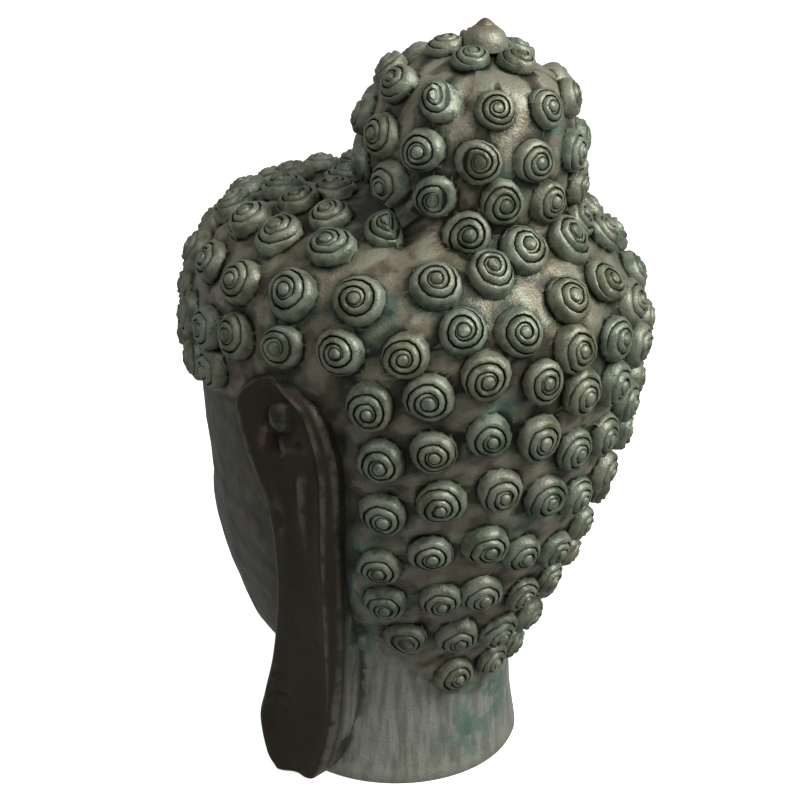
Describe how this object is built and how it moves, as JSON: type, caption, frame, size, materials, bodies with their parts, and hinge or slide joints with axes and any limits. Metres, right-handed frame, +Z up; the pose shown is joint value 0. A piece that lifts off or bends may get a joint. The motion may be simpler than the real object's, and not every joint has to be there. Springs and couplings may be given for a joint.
{
  "type": "buddha head sculpture",
  "caption": "Cast bronze Buddha head on a short neck, with snail-curl hair, a domed topknot with a knob, and long ears.",
  "frame": {"origin": "middle of the flat underside, on the axis of the neck", "axes": "+Z up, -Y the way the face looks, +X towards the head's left ear"},
  "size_m": [0.2043, 0.2279, 0.3525],
  "materials": {
    "patinated_bronze": "dark brown cast bronze with a grey-green patina, rubbed paler on the curls"
  },
  "bodies": {
    "root": {"buddha_head": "patinated_bronze"}
  },
  "joints": []
}
